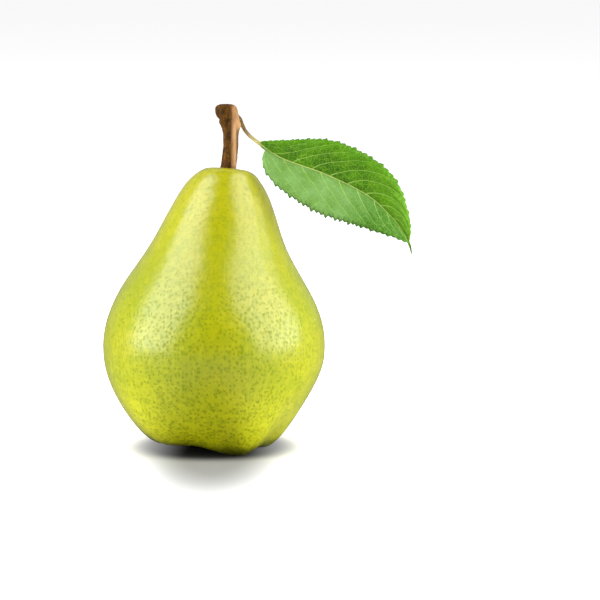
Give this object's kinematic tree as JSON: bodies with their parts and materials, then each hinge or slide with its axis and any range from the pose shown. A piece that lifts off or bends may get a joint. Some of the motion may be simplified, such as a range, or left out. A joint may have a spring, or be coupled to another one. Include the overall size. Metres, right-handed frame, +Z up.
{
  "type": "pear",
  "caption": "Whole green dessert pear as picked, standing on its lobed base, with a short woody stem, one serrated leaf and the dried calyx underneath.",
  "frame": {"origin": "middle of the whole object's bounding box, on the table that the pear stands on", "axes": "+Z up from the table through the crown to the stem, +X towards the tip of the leaf, front of the pear towards -Y"},
  "size_m": [0.1004, 0.072, 0.1116],
  "materials": {
    "fruit": null,
    "stem": "brown bark, satin, finely ridged lengthways",
    "leaf": null,
    "calyx": "dry brown sepals, matte"
  },
  "bodies": {
    "root": {"fruit": "fruit", "stem": "stem", "leaf": "leaf", "calyx": "calyx"}
  },
  "joints": []
}
